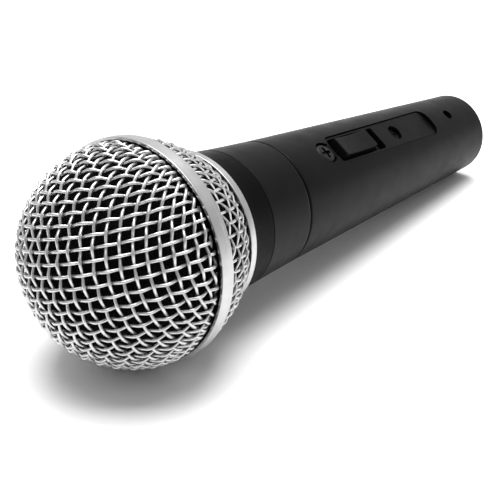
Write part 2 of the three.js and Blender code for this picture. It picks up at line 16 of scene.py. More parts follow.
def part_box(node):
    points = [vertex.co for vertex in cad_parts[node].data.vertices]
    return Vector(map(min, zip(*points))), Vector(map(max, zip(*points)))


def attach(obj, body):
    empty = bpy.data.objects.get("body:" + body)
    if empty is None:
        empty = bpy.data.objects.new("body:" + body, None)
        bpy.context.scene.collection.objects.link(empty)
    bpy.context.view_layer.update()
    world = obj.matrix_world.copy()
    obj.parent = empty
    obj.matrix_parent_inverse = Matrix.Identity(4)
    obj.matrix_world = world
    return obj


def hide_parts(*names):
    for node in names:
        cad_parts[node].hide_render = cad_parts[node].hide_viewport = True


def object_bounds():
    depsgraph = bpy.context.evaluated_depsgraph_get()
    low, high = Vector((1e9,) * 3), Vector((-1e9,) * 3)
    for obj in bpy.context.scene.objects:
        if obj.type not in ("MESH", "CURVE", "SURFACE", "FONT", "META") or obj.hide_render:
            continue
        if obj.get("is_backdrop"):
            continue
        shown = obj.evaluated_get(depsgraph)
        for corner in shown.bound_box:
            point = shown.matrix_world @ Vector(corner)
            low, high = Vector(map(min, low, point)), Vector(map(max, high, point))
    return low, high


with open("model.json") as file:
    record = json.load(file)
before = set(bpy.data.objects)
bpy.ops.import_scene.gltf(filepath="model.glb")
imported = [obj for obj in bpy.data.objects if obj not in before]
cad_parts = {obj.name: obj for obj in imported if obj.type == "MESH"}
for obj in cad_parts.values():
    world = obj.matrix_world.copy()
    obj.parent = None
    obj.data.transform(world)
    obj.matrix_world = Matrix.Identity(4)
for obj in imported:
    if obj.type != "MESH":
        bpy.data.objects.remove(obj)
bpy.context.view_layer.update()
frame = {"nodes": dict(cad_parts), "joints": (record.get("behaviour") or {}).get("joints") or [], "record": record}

# ---- Driving dimensions, in millimetres ----
MILLIMETRE = 0.001
GAP = 0.3  # between CAD pieces that meet
CLEARANCE = 2  # how far a cutting solid stands past what it cuts
CORNER_TOLERANCE = 0.02  # how near a station a profile's corner counts as being at it

# Facets of turned pieces, and steps of a rounded corner.
SIDES = 200
BAND_SIDES = 256
HANDLE_SIDES = 192
FOAM_SIDES = 120
INSERT_SIDES = 96
SCREW_SIDES = 48
PIN_SIDES = 32
FILLET_STEPS = 4

# Grille.
BAND_MIDDLE = 1.3  # station of the middle of the band
BAND_WALL = 0.7
BAND_STEP = 0.2  # how far its rear ledge is stepped down
BAND_LEDGE = 1.0
BAND_FLANGE = 2.2  # how far it reaches inwards from the band's outside
RING_LENGTH = 2.7  # of the CAD ring
RING_FLANGE = 2.3
RING_PLATE = 0.5  # thickness of the flange
RING_LIP = 1.9  # length of the lip in front of the ring's rear face
RING_WALL = 0.4
DOME_UNDER_BAND = 0.9  # how far the wires run on under the band and the ring
BOWL_UNDER_BAND = 0.6
BOWL_UNDER_RING = 0.7
FOAM_THICKNESS = 3.2
FOAM_STEPS = 36
FOAM_RIPPLES = ((0.9, 0.25), (2.3, 0.12))  # waves per millimetre, and height

# Woven wire.
DOME_WIRE = (0.36, 0.32, 0.42)  # radius, and how far the wires of each direction swing in and out
BOWL_WIRE = (0.31, 0.28, 0.34)
WIRE_SIDES = 10
WIRE_STEPS = 6  # per crossing
DOME_RADIUS = 24.69
DOME_MIDDLE = -0.27  # station of the middle of the dome's sphere
DOME_PITCHES = (2.690, 2.546)
DOME_TURN = math.radians(17.99)
DOME_TILT = (0.0215, 0.0573)
BOWL_RADIUS = 24.5
BOWL_PITCHES = (2.603, 2.63)
BOWL_TURN = math.radians(67.37)
BOWL_TILT = (0.0303, 0.037)
NET_REACH = 18  # crossings from the middle of a net to its edge
DOME_TUCKS = ((0.5, 6), (0.7, 0.8))  # how far the edge draws in, and over what length, in two stages
BOWL_TUCKS = ((0.2, 5), (0.3, 1.2))
TUCK_REACH = 1.3  # how many lengths past its start a stage goes on drawing in

# Collar.
SPIGOT_FRONT = 12.5
SPIGOT_STEP = 1.8  # how far it is smaller than the collar's front edge
FLARE_LENGTH = 8  # over which the collar's flare dies away towards the handle
LABEL_FRONT = 19.7
LABEL_REAR = 27.9
LABEL_DEPTH = 0.8
LABEL_THICKNESS = 0.47
LABEL_SINK = 0.03  # how far it lies below the collar's surface
COLLAR_BORE = 14.9
COLLAR_REAR_BORE = 13.9
COLLAR_FLANK = (30, 44)  # stations from which its curve is drawn
SEAM_FILLET = 0.55
FLANK_STEP = 2.0

# Handle.
TENON_FRONT = 37
TENON_RADIUS = 13.5
TENON_BORE = 12.3
HANDLE_WALL = 1.8
SOCKET_RADIUS = 8.2
SOCKET_FRONT = 110.5
HANDLE_FLANK = (46, 134)
TAIL_BEVEL = 0.4
SET_SCREW_HOLE = 1.6

# Switch, measured from the middle of its opening.
POCKET_FRONT = -11.6
POCKET_REAR = 38.1
POCKET_HALF_WIDTH = 4.4
POCKET_CORNER = 2.2
POCKET_DEPTH = 4.5
NECK_HALF_WIDTH = 2.2  # between the pocket and the front screw's seat
OPENING_FRONT = -10.2
OPENING_REAR = 11.0
OPENING_HALF_WIDTH = 3.5
OPENING_CORNER = 0.8
PLATE_TOP = -1.0
PLATE_BOTTOM = -2.8
LUG_TOP = -1.6
FRONT_SCREW_PLACE = -14.7
FRONT_SCREW_HOLE = 3.2
FRONT_SCREW_HEAD = 2.8
FRONT_SCREW_TOP = -0.3
REAR_SCREW_PLACE = 19.5
REAR_SCREW_HOLE = 2.3
REAR_SCREW_HEAD = 1.9
REAR_SCREW_TOP = -2.0
REAR_SCREW_SINK = 1.4
BUTTON_PLACE = -1.6
BUTTON_HALF_LENGTH = 7.2
BUTTON_HALF_WIDTH = 2.7
BUTTON_SKIRT_HALF_WIDTH = 3.25
BUTTON_SKIRT_TOP = -2.3
BUTTON_BOTTOM = -3.0
BUTTON_TOP = 0.6
BUTTON_DISH = 0.45
BUTTON_STEPS = 24

# Connector.
INSERT_RIM = 1.2
INSERT_SINK = 0.6
PIN_CIRCLE = 3.81
PIN_RADIUS = 1.2
PIN_TIP_RADIUS = 0.55
PIN_TIP_LENGTH = 1.0

# ---- Camera and light, in metres and degrees ----
CAMERA_AZIMUTH = -50.984
CAMERA_ELEVATION = 27.581
CAMERA_PLACE = (0.025026, 0.000554, 0.247509)  # from the ball's centre: aside, raised and back
CAMERA_LENS = 82.16
LIGHT_DIRECTION = (0.1, 0.08, 1.0)
LIGHT_DISTANCE = 1.0
LIGHT_SIZE = 0.85
LIGHT_POWER = 20
WALL_STRENGTHS = (0.28, 0.9)  # the dimmest and the brightest
BRIGHTEST_WALL = (0.74, 0.6, 0.3)
FLOOR_HALF_SIZE = 6

# ---- Frames of reference ----
joints = {joint["name"]: joint for joint in frame["joints"]}
AXIS = -Vector(joints["grille_travel"]["axis"]).normalized()
UP = (Vector((0, 0, 1)) - AXIS * AXIS.z).normalized()
ACROSS = AXIS.cross(UP)


def centre(node):
    low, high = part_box(node)
    return (low + high) / 2


def frame_matrix(x_axis, y_axis, z_axis, origin):
    """Takes millimetres along these axes to the frame's metres."""
    axes = Matrix((x_axis, y_axis, z_axis)).transposed().to_4x4()
    return Matrix.Translation(origin) @ axes @ Matrix.Scale(MILLIMETRE, 4)


BALL_CENTRE = centre("grille_band") - AXIS * BAND_MIDDLE * MILLIMETRE
BODY = frame_matrix(ACROSS, AXIS, UP, BALL_CENTRE)


def extent(node, matrix=BODY):
    """The lowest and highest corners of a CAD node, in millimetres along a frame's axes."""
    inverse = matrix.inverted()
    points = np.array([inverse @ vertex.co for vertex in frame["nodes"][node].data.vertices])
    return Vector(points.min(0)), Vector(points.max(0))


def radius_at(node, station):
    """The radius of a turned CAD node's outside at a station where its profile has a corner."""
    inverse = BODY.inverted()
    points = [inverse @ vertex.co for vertex in frame["nodes"][node].data.vertices]
    return max(point.z for point in points if abs(point.y - station) < CORNER_TOLERANCE)


def switch_matrix():
    """The switch's frame: y is its slide's direction, and z runs out through the button."""
    slide = Vector(joints["switch_slide"]["axis"]).normalized()
    outward = (AXIS * AXIS.dot(slide) - slide).normalized()
    across = slide.cross(outward).normalized()
    level = across.cross(slide)
    rough = frame_matrix(across, slide, level, BALL_CENTRE)
    top = extent("switch_button", rough)[1].z - BUTTON_TOP
    rear = extent("switch_plate", rough)[1].y - (POCKET_REAR - GAP)
    return rough @ Matrix.Translation((0, rear, top))


SWITCH = switch_matrix()
SWITCH_IN_BODY = BODY.inverted() @ SWITCH
SWITCH_SIDE = Matrix.Rotation(math.atan2(SWITCH_IN_BODY.col[2].x, SWITCH_IN_BODY.col[2].z), 4, "Y")

BAND_FRONT, BAND_REAR = (corner.y for corner in extent("grille_band"))
BAND_RADIUS = extent("grille_band")[1].z
RING_RADIUS = extent("grille_base_ring")[1].z
RING_REAR = extent("grille_base_ring")[1].y
RING_FRONT = RING_REAR - RING_LENGTH
SEAM = extent("collar_shell")[1].y + GAP / 2
SEAM_RADIUS = extent("handle")[1].z
TAIL_END = extent("handle")[1].y
TAIL_RADIUS = radius_at("handle", TAIL_END - TAIL_BEVEL)


# ---- Camera ----
def add_camera():
    """Looks from the front left, down the microphone, with the ball nearest."""
    data = bpy.data.cameras.new("camera")
    data.lens = CAMERA_LENS
    data.sensor_width = 36
    data.clip_start = 0.01
    camera = bpy.data.objects.new("camera", data)
    bpy.context.scene.collection.objects.link(camera)
    camera.rotation_euler = (math.radians(90 - CAMERA_ELEVATION), 0, math.radians(CAMERA_AZIMUTH))
    turn = camera.rotation_euler.to_matrix()
    camera.location = BALL_CENTRE + turn @ Vector(CAMERA_PLACE)
    bpy.context.scene.camera = camera


# ---- Mesh helpers ----
def rounded(corners):
    """A closed outline whose corners, given as (x, y) or (x, y, fillet), are rounded off."""
    points = []
    for i, corner in enumerate(corners):
        here = Vector(corner[:2])
        fillet = corner[2] if len(corner) > 2 else 0
        if not fillet:
            points.append(here)
            continue
        before = Vector(corners[i - 1][:2]) - here
        after = Vector(corners[(i + 1) % len(corners)][:2]) - here
        reach = min(fillet, 0.49 * before.length, 0.49 * after.length)
        start, end = here + before.normalized() * reach, here + after.normalized() * reach
        for k in range(FILLET_STEPS + 1):
            t = k / FILLET_STEPS
            points.append(start * (1 - t) ** 2 + here * 2 * t * (1 - t) + end * t * t)
    return points


def lathe(profile, sides=SIDES):
    """A closed solid turned about the station axis, from a closed outline of (radius, station)."""
    form = bmesh.new()
    rings = []
    for radius, station in profile:
        if radius < 1e-6:
            rings.append([form.verts.new((0, station, 0))])
            continue
        angles = (2 * math.pi * k / sides for k in range(sides))
        rings.append([form.verts.new((radius * math.sin(a), station, radius * math.cos(a))) for a in angles])
    for ring, following in zip(rings, rings[1:] + rings[:1]):
        if len(ring) == len(following) == 1:
            continue
        for k in range(sides):
            after = (k + 1) % sides
            corners = [ring[k % len(ring)], ring[after % len(ring)]]
            corners += [following[after % len(following)], following[k % len(following)]]
            form.faces.new(list(dict.fromkeys(corners)))
    bmesh.ops.recalc_face_normals(form, faces=form.faces)
    return form


def block(low, high):
    """A box between two corners."""
    form = bmesh.new()
    bmesh.ops.create_cube(form, size=1)
    middle = (Vector(low) + Vector(high)) / 2
    size = Vector(high) - Vector(low)
    form.transform(Matrix.Translation(middle) @ Matrix.Diagonal((*size, 1)))
    return form


def prism(outline, low, high):
    """A closed solid that stands on z = low, with the given (x, y) outline."""
    form = bmesh.new()
    bottom = [form.verts.new((x, y, low)) for x, y in outline]
    top = [form.verts.new((x, y, high)) for x, y in outline]
    form.faces.new(bottom)
    form.faces.new(top)
    for k in range(len(bottom)):
        after = (k + 1) % len(bottom)
        form.faces.new((bottom[k], bottom[after], top[after], top[k]))
    bmesh.ops.recalc_face_normals(form, faces=form.faces)
    return form


def circle(radius, y, sides=SCREW_SIDES):
    """A circle on the middle line, as (x, y)."""
    angles = (2 * math.pi * k / sides for k in range(sides))
    return [(radius * math.cos(a), y + radius * math.sin(a)) for a in angles]


def rounded_rectangle(half_width, front, rear, corner, steps=8):
    """An outline on the middle line, from a front to a rear end, whose corners are quarter circles."""
    points = []
    centres = [(1, rear, 0), (-1, rear, 1), (-1, front, 2), (1, front, 3)]
    for side, end, quarter in centres:
        inward = -1 if end == rear else 1
        x, y = side * (half_width - corner), end + inward * corner
        for k in range(steps + 1):
            angle = (quarter + k / steps) * math.pi / 2
            points.append((x + corner * math.cos(angle), y + corner * math.sin(angle)))
    return points


def new_object(name, form):
    mesh = bpy.data.meshes.new(name)
    form.to_mesh(mesh)
    form.free()
    item = bpy.data.objects.new(name, mesh)
    bpy.context.scene.collection.objects.link(item)
    return item


def baked(item):
    """Replaces an object's mesh by what its modifiers make of it."""
    graph = bpy.context.evaluated_depsgraph_get()
    mesh = bpy.data.meshes.new_from_object(item.evaluated_get(graph))
    old = item.data
    item.modifiers.clear()
    item.data = mesh
    bpy.data.meshes.remove(old)


def cut(item, *forms):
    """Cuts the given solids out of an object, one after another."""
    for form in forms:
        tool = new_object("tool", form)
        boolean = item.modifiers.new("cut", "BOOLEAN")
        boolean.operation = "DIFFERENCE"
        boolean.solver = "EXACT"
        boolean.object = tool
        bpy.context.view_layer.update()
        baked(item)
        bpy.data.objects.remove(tool)


def soften(item, width, segments=2, angle=40):
    """Rounds an object's sharp edges by a width in millimetres."""
    bevel = item.modifiers.new("bevel", "BEVEL")
    bevel.width = width
    bevel.segments = segments
    bevel.limit_method = "ANGLE"
    bevel.angle_limit = math.radians(angle)
    baked(item)


def shade(item, angle=35):
    """Smooth shading, broken at edges sharper than an angle, with flat faces kept flat."""
    form = bmesh.new()
    form.from_mesh(item.data)
    for face in form.faces:
        face.smooth = True
    limit = math.radians(angle)
    for edge in form.edges:
        edge.smooth = len(edge.link_faces) == 2 and edge.calc_face_angle(0) < limit
    form.to_mesh(item.data)
    form.free()
    weighted = item.modifiers.new("normals", "WEIGHTED_NORMAL")
    weighted.keep_sharp = True
    baked(item)


def finish(item, material, body, nodes=(), place=BODY, angle=35):
    """Shades a piece, lays it down, gives it its material and hands it to the frame."""
    shade(item, angle)
    item.data.transform(place)
    item.data.materials.clear()
    item.data.materials.append(material)
    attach(item, body)
    if nodes:
        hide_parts(*nodes)
    return item


# ---- Materials ----
class Shader:
    """A node material built round one Principled shader."""

    def __init__(self, name):
        self.material = bpy.data.materials.new(name)
        self.material.use_nodes = True
        self.nodes = self.material.node_tree.nodes
        self.links = self.material.node_tree.links
        self.principled = next(n for n in self.nodes if n.type == "BSDF_PRINCIPLED")
        self.coordinates = self.nodes.new("ShaderNodeTexCoord").outputs["Object"]

    def set(self, **values):
        for name, value in values.items():
            self.principled.inputs[name.replace("_", " ")].default_value = value

    def mapped(self, scale):
        """The piece's own coordinates along the microphone's axes, stretched by a scale."""
        mapping = self.nodes.new("ShaderNodeMapping")
        tilt = math.atan2(-AXIS.z, AXIS.x)
        mapping.vector_type = "TEXTURE"
        mapping.inputs["Location"].default_value = BALL_CENTRE
        mapping.inputs["Rotation"].default_value = (0, tilt, 0)
        self.links.new(self.coordinates, mapping.inputs["Vector"])
        stretch = self.nodes.new("ShaderNodeMapping")
        stretch.inputs["Scale"].default_value = scale
        self.links.new(mapping.outputs["Vector"], stretch.inputs["Vector"])
        return stretch.outputs["Vector"]

    def noise(self, scale, detail=3.0, stretch=(1, 1, 1)):
        texture = self.nodes.new("ShaderNodeTexNoise")
        texture.inputs["Scale"].default_value = scale
        texture.inputs["Detail"].default_value = detail
        self.links.new(self.mapped(stretch), texture.inputs["Vector"])
        return texture.outputs["Fac"]

    def cells(self, scale, stretch=(1, 1, 1)):
        texture = self.nodes.new("ShaderNodeTexVoronoi")
        texture.inputs["Scale"].default_value = scale
        self.links.new(self.mapped(stretch), texture.inputs["Vector"])
        return texture.outputs["Distance"]

    def ramp(self, factor, low, high, start=0.3, end=0.7):
        ramp = self.nodes.new("ShaderNodeValToRGB")
        ramp.color_ramp.elements[0].position = start
        ramp.color_ramp.elements[1].position = end
        ramp.color_ramp.elements[0].color = (*low, 1)
        ramp.color_ramp.elements[1].color = (*high, 1)
        self.links.new(factor, ramp.inputs["Fac"])
        return ramp.outputs["Color"]

    def colour(self, factor, low, high, start=0.3, end=0.7):
        self.links.new(self.ramp(factor, low, high, start, end), self.principled.inputs["Base Color"])

    def roughness(self, factor, low, high):
        span = self.nodes.new("ShaderNodeMapRange")
        span.inputs["From Min"].default_value = 0.3
        span.inputs["From Max"].default_value = 0.7
        span.inputs["To Min"].default_value = low
        span.inputs["To Max"].default_value = high
        self.links.new(factor, span.inputs["Value"])
        self.links.new(span.outputs["Result"], self.principled.inputs["Roughness"])

    def bump(self, *heights):
        """Adds up (factor, depth in millimetres) pairs of fine relief."""
        normal = None
        for factor, depth in heights:
            bump = self.nodes.new("ShaderNodeBump")
            bump.inputs["Distance"].default_value = depth * MILLIMETRE
            self.links.new(factor, bump.inputs["Height"])
            if normal:
                self.links.new(normal, bump.inputs["Normal"])
            normal = bump.outputs["Normal"]
        self.links.new(normal, self.principled.inputs["Normal"])


def grey(value):
    return (value, value, value)


def wire_silver():
    shader = Shader("silver_wire")
    shader.set(Metallic=1.0)
    shader.colour(shader.noise(900), grey(0.5), grey(0.62))
    shader.roughness(shader.noise(1800), 0.3, 0.42)
    shader.bump((shader.noise(3500), 0.002))
    return shader.material


def satin_band():
    """Silver with fine turned lines round the axis."""
    shader = Shader("satin_band")
    shader.set(Metallic=1.0)
    lines = shader.noise(1400, stretch=(1, 0.02, 0.02))
    shader.colour(shader.noise(350), grey(0.44), grey(0.52))
    shader.roughness(lines, 0.3, 0.42)
    shader.bump((lines, 0.004), (shader.noise(5000), 0.003))
    return shader.material


def charcoal_enamel():
    """Satin paint with a fine even pebble, and a little unevenness in its sheen."""
    shader = Shader("charcoal_enamel")
    shader.set(Specular_IOR_Level=0.07)
    shader.colour(shader.noise(120, 5), grey(0.0015), grey(0.003))
    shader.roughness(shader.noise(260, 4), 0.36, 0.44)
    shader.bump((shader.noise(3800, 2), 0.012))
    return shader.material


def dark_label():
    shader = Shader("dark_label")
    shader.set(Specular_IOR_Level=0.03)
    shader.colour(shader.noise(150, 4), grey(0.0006), grey(0.0012))
    shader.roughness(shader.noise(500), 0.34, 0.44)
    shader.bump((shader.noise(5200, 2), 0.005))
    return shader.material


def open_foam():
    shader = Shader("open_foam")
    shader.set(Specular_IOR_Level=0.03)
    cells = shader.cells(1500)
    shader.colour(cells, grey(0.0005), grey(0.005), 0.1, 0.6)
    shader.roughness(cells, 0.95, 1.0)
    shader.bump((cells, 0.3))
    return shader.material


def thumb_plastic():
    shader = Shader("thumb_plastic")
    shader.set(Specular_IOR_Level=0.08)
    shader.colour(shader.noise(300, 4), grey(0.003), grey(0.005))
    shader.roughness(shader.noise(900), 0.4, 0.52)
    shader.bump((shader.noise(4200, 2), 0.01))
    return shader.material


def moulded(name, low, high, rough_low, rough_high, metallic=0.0, grain=2500, depth=0.008, shine=0.5):
    """A plain moulded, machined or plated finish with its own grain."""
    shader = Shader(name)
    shader.set(Metallic=metallic, Specular_IOR_Level=shine)
    shader.colour(shader.noise(260, 4), low, high)
    shader.roughness(shader.noise(700), rough_low, rough_high)
    shader.bump((shader.noise(grain, 2), depth))
    return shader.material


def wound_copper():
    """Enamelled wire laid side by side."""
    shader = Shader("wound_copper")
    shader.set(Metallic=0.9)
    turns = shader.nodes.new("ShaderNodeTexWave")
    turns.inputs["Scale"].default_value = 900
    turns.bands_direction = "X"
    shader.links.new(shader.mapped((1, 1, 1)), turns.inputs["Vector"])
    shader.colour(turns.outputs["Fac"], (0.22, 0.07, 0.02), (0.62, 0.27, 0.12))
    shader.roughness(shader.noise(800), 0.3, 0.45)
    shader.bump((turns.outputs["Fac"], 0.08))
    return shader.material


def make_materials():
    return {
        "mesh_wire": wire_silver(),
        "satin_metal": satin_band(),
        "enamel": charcoal_enamel(),
        "label": dark_label(),
        "foam": open_foam(),
        "button_plastic": thumb_plastic(),
        "copper": wound_copper(),
        "steel": moulded("machined_steel", grey(0.42), grey(0.55), 0.3, 0.45, 1.0, 1800, 0.006),
        "dark_steel": moulded("blackened_steel", grey(0.008), grey(0.018), 0.3, 0.45, 0.8, 2600, 0.006),
        "black_plastic": moulded("black_plastic", grey(0.005), grey(0.009), 0.45, 0.6, shine=0.12),
        "rubber": moulded("black_rubber", grey(0.010), grey(0.018), 0.7, 0.85, 0.0, 1500, 0.02),
        "film": moulded("clear_film", (0.62, 0.58, 0.46), (0.74, 0.7, 0.58), 0.2, 0.3, 0.0, 900, 0.004),
        "brass": moulded("plated_brass", (0.58, 0.42, 0.16), (0.72, 0.55, 0.24), 0.25, 0.38, 1.0),
        "board": moulded("green_board", (0.02, 0.09, 0.03), (0.03, 0.14, 0.05), 0.4, 0.55),
        "red_wire": moulded("red_lead", (0.32, 0.02, 0.015), (0.42, 0.035, 0.025), 0.35, 0.5),
        "blue_wire": moulded("blue_lead", (0.02, 0.06, 0.28), (0.03, 0.09, 0.38), 0.35, 0.5),
    }


# ---- Woven wire ----
def woven_net(pitches, radius):
    """Where the wires of a square cloth cross when it is laid on a unit sphere, with its middle at +z.

    Two wires follow great circles through the middle, and every cell keeps its sides' lengths.
    """
    reach = NET_REACH
    net = np.full((2 * reach + 1, 2 * reach + 1, 3), np.nan)
    first, second = (pitch / radius for pitch in pitches)
    for i in range(-reach, reach + 1):
        net[i + reach, reach] = (math.sin(i * first), 0, math.cos(i * first))
        net[reach, i + reach] = (0, math.sin(i * second), math.cos(i * second))
    for right in (1, -1):
        for along in (1, -1):
            for i in range(1, reach + 1):
                for j in range(1, reach + 1):
                    x, y = reach + right * i, reach + along * j
                    corner = net[x - right, y - along]
                    middle = net[x - right, y] + net[x, y - along]
                    middle /= np.linalg.norm(middle)
                    net[x, y] = 2 * corner.dot(middle) * middle - corner
    return net


def placed_net(pitches, radius, turn, tilt, pole):
    """A net turned about its pole, then tilted about the x and z axes by small angles."""
    level = Vector((-pole, 0, 0))
    upward = Vector((0, 0, 1))
    across = level * math.cos(turn) + upward * math.sin(turn)
    along = upward * math.cos(turn) - level * math.sin(turn)
    lean = level * tilt[0] + upward * tilt[1]
    lay = Matrix.Rotation(lean.length, 3, lean)
    axes = [lay @ direction for direction in (across, along, Vector((0, pole, 0)))]
    return woven_net(pitches, radius) @ np.array(axes)


def smooth_course(crossings):
    """Points along a wire on the unit sphere, with WIRE_STEPS of them from crossing to crossing."""
    ends = (2 * crossings[0] - crossings[1], 2 * crossings[-1] - crossings[-2])
    padded = np.vstack([ends[0], crossings, ends[1]])
    points = []
    for k in range(len(crossings) - 1):
        before, start, end, after = padded[k:k + 4]
        for step in range(WIRE_STEPS):
            t = step / WIRE_STEPS
            linear = start + (end - start) * t
            sag = t * (1 - t) * ((1 - t) * (2 * start - before - end) + t * (2 * end - after - start)) / 2
            points.append(linear + sag)
    points.append(crossings[-1])
    points = np.array(points)
    return points / np.linalg.norm(points, axis=1)[:, None]


def tube(points, outwards, radius):
    """Vertices and faces of a round wire along some points, with flat ends."""
    sides = WIRE_SIDES
    tangents = np.gradient(points, axis=0)
    tangents /= np.linalg.norm(tangents, axis=1)[:, None]
    across = np.cross(tangents, outwards)
    across /= np.linalg.norm(across, axis=1)[:, None]
    outward = np.cross(across, tangents)
    angles = 2 * math.pi * np.arange(sides) / sides
    rings = points[:, None] + radius * (
        np.cos(angles)[None, :, None] * outward[:, None] + np.sin(angles)[None, :, None] * across[:, None]
    )
    vertices = rings.reshape(-1, 3)
    faces = []
    for ring in range(len(points) - 1):
        for k in range(sides):
            after = (k + 1) % sides
            low, high = ring * sides, (ring + 1) * sides
            faces.append((low + k, high + k, high + after, low + after))
    faces.append(tuple(range(sides)))
    last = (len(points) - 1) * sides
    faces.append(tuple(last + k for k in reversed(range(sides))))
    return vertices, faces


def weave(name, net, wire, radius_of, front, rear, middle=0.0):
    """A plain weave over a net, kept between two stations. radius_of gives the surface's radius."""
    wire_radius, first_swing, second_swing = wire
    vertices, faces = [], []
    count = 0
    for swing, wires in ((first_swing, net), (-second_swing, net.transpose(1, 0, 2))):
        for index, crossings in enumerate(wires):
            course = smooth_course(crossings)
            phase = math.pi * (np.arange(len(course)) / WIRE_STEPS + index)
            radius = radius_of(course[:, 1])
            stations = course[:, 1] * radius + middle
            lift = swing * np.cos(phase)
            points = course * (radius - lift)[:, None] + np.array((0, middle, 0))
            kept = (stations >= front) & (stations <= rear)
            for run in runs(kept):
                if len(run) < WIRE_STEPS // 2:  # a stub too short to bend
                    continue
                corners, sides = tube(points[run], course[run], wire_radius)
                vertices.append(corners)
                faces += [tuple(corner + count for corner in face) for face in sides]
                count += len(corners)
    mesh = bpy.data.meshes.new(name)
    mesh.from_pydata(np.vstack(vertices).tolist(), [], faces)
    mesh.update()
    item = bpy.data.objects.new(name, mesh)
    bpy.context.scene.collection.objects.link(item)
    return item


def runs(kept):
    """The stretches of consecutive kept places, as lists of indices."""
    places = np.flatnonzero(kept)
    return np.split(places, np.flatnonzero(np.diff(places) > 1) + 1) if len(places) else []


def tucked(radius, distances, tucks):
    """A net's radius where its edge draws in, at some distances before the rim that it goes under."""
    return radius - sum(drop * np.clip(1 - distances / length, 0, TUCK_REACH) ** 2 for drop, length in tucks)


def add_dome(materials):
    """The ball's front half, woven, with its rim tucked under the band."""
    net = placed_net(DOME_PITCHES, DOME_RADIUS, DOME_TURN, DOME_TILT, -1)

    def radius(heights):
        return tucked(DOME_RADIUS, BAND_FRONT - DOME_MIDDLE - heights * DOME_RADIUS, DOME_TUCKS)

    dome = weave("woven_dome", net, DOME_WIRE, radius, -math.inf, BAND_FRONT + DOME_UNDER_BAND, DOME_MIDDLE)
    finish(dome, materials["mesh_wire"], "grille", ["grille_dome"], angle=80)


def add_bowl(materials):
    """The ball's rear part, woven, from under the band to inside the ring's lip."""
    net = placed_net(BOWL_PITCHES, BOWL_RADIUS, BOWL_TURN, BOWL_TILT, 1)

    def radius(heights):
        return tucked(BOWL_RADIUS, RING_FRONT - heights * BOWL_RADIUS, BOWL_TUCKS)

    rear = RING_REAR - RING_LIP + BOWL_UNDER_RING
    bowl = weave("woven_bowl", net, BOWL_WIRE, radius, BAND_REAR - BOWL_UNDER_BAND, rear)
    finish(bowl, materials["mesh_wire"], "grille", ["grille_bowl"], angle=80)


def add_band(materials):
    """The band that clamps both skins, with a ledge at its rear and a flange inside."""
    outline = rounded([
        (BAND_RADIUS - BAND_WALL, BAND_FRONT, 0.1),
        (BAND_RADIUS, BAND_FRONT, 0.16),
        (BAND_RADIUS, BAND_REAR - BAND_LEDGE - BAND_STEP, 0.14),
        (BAND_RADIUS - BAND_STEP, BAND_REAR - BAND_LEDGE, 0.08),
        (BAND_RADIUS - BAND_STEP, BAND_REAR, 0.3),
        (BAND_RADIUS - BAND_LEDGE, BAND_REAR, 0.2),
        (BAND_RADIUS - BAND_FLANGE, BAND_REAR - 0.4),
        (BAND_RADIUS - BAND_FLANGE, BAND_REAR - 1.2),
        (BAND_RADIUS - BAND_WALL + 0.1, BAND_REAR - 1.6),
    ])
    piece = new_object("centre_band", lathe(outline, BAND_SIDES))
    finish(piece, materials["satin_metal"], "grille", ["grille_band"])


def add_base_ring(materials):
    """A flat ring with a thin lip round the ends of the bowl's wires."""
    bore = RING_RADIUS - RING_FLANGE
    outline = rounded([
        (bore, RING_REAR - RING_PLATE),
        (RING_RADIUS - RING_WALL - 0.05, RING_REAR - RING_PLATE),
        (RING_RADIUS - RING_WALL, RING_REAR - RING_LIP, 0.1),
        (RING_RADIUS, RING_REAR - RING_LIP, 0.3),
        (RING_RADIUS, RING_REAR, 0.4),
        (bore, RING_REAR, 0.2),
    ])
    piece = new_object("base_ring", lathe(outline))
    finish(piece, materials["satin_metal"], "grille", ["grille_base_ring"])


def quarter_arc(radius):
    """From the front of a sphere to its widest part, as (radius, station)."""
    angles = [math.pi / 2 * k / FOAM_STEPS for k in range(FOAM_STEPS + 1)]
    return [Vector((radius * math.sin(a), -radius * math.cos(a))) for a in angles]


def add_foam(materials):
    """A soft liner just inside the weave, with the uneven face of cut open-cell foam."""
    corner = extent("foam_windscreen")[1]
    outer, rear = corner.z, corner.y
    inner = outer - FOAM_THICKNESS
    skirt = [(outer - 0.7, 5), (outer - 2.4, 8.8), (outer - 5.4, rear), (inner - 3.8, rear), (inner - 1.2, 7)]
    outline = quarter_arc(outer) + [Vector(point) for point in skirt] + quarter_arc(inner)[::-1]
    form = lathe(outline, FOAM_SIDES)
    for vertex in form.verts:
        ripple = sum(height * noise.noise(vertex.co * rate) for rate, height in FOAM_RIPPLES)
        vertex.co += vertex.co.normalized() * ripple
    piece = new_object("foam_liner", form)
    finish(piece, materials["foam"], "windscreen", ["foam_windscreen"], angle=60)


# ---- Collar and handle ----
def handle_radius(station):
    taper = (SEAM_RADIUS - TAIL_RADIUS) / (TAIL_END - TAIL_BEVEL - SEAM)
    return SEAM_RADIUS - taper * (station - SEAM)


def collar_radius(station):
    flare = radius_at("collar_shell", RING_REAR + GAP / 2) - handle_radius(RING_REAR)
    return handle_radius(station) + flare * math.exp((RING_REAR - station) / FLARE_LENGTH)


